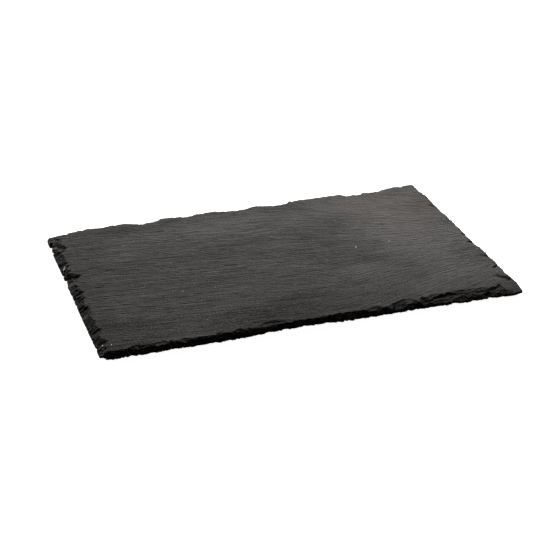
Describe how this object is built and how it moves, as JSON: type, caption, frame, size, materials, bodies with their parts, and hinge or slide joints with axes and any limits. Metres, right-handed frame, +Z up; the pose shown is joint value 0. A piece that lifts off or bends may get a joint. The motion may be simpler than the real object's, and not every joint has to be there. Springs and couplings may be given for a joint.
{
  "type": "slate serving board",
  "caption": "Rectangular riven slate serving board with knapped, chipped edges, standing on stick-on rubber feet; food is laid out and served on its flat top.",
  "frame": {"origin": "on the table, under the middle of the board", "axes": "+X along the board's length, +Y across its width towards the back, +Z up out of the serving face"},
  "size_m": [0.265, 0.1644, 0.0072],
  "materials": {
    "slate": "matte",
    "foot_rubber": "matte",
    "adhesive": "satin"
  },
  "bodies": {
    "root": {"slate_slab": "slate", "foot_front_left": "foot_rubber", "foot_front_right": "foot_rubber", "foot_back_left": "foot_rubber", "foot_back_right": "foot_rubber", "adhesive_front_left": "adhesive", "adhesive_front_right": "adhesive", "adhesive_back_left": "adhesive", "adhesive_back_right": "adhesive"}
  },
  "joints": []
}
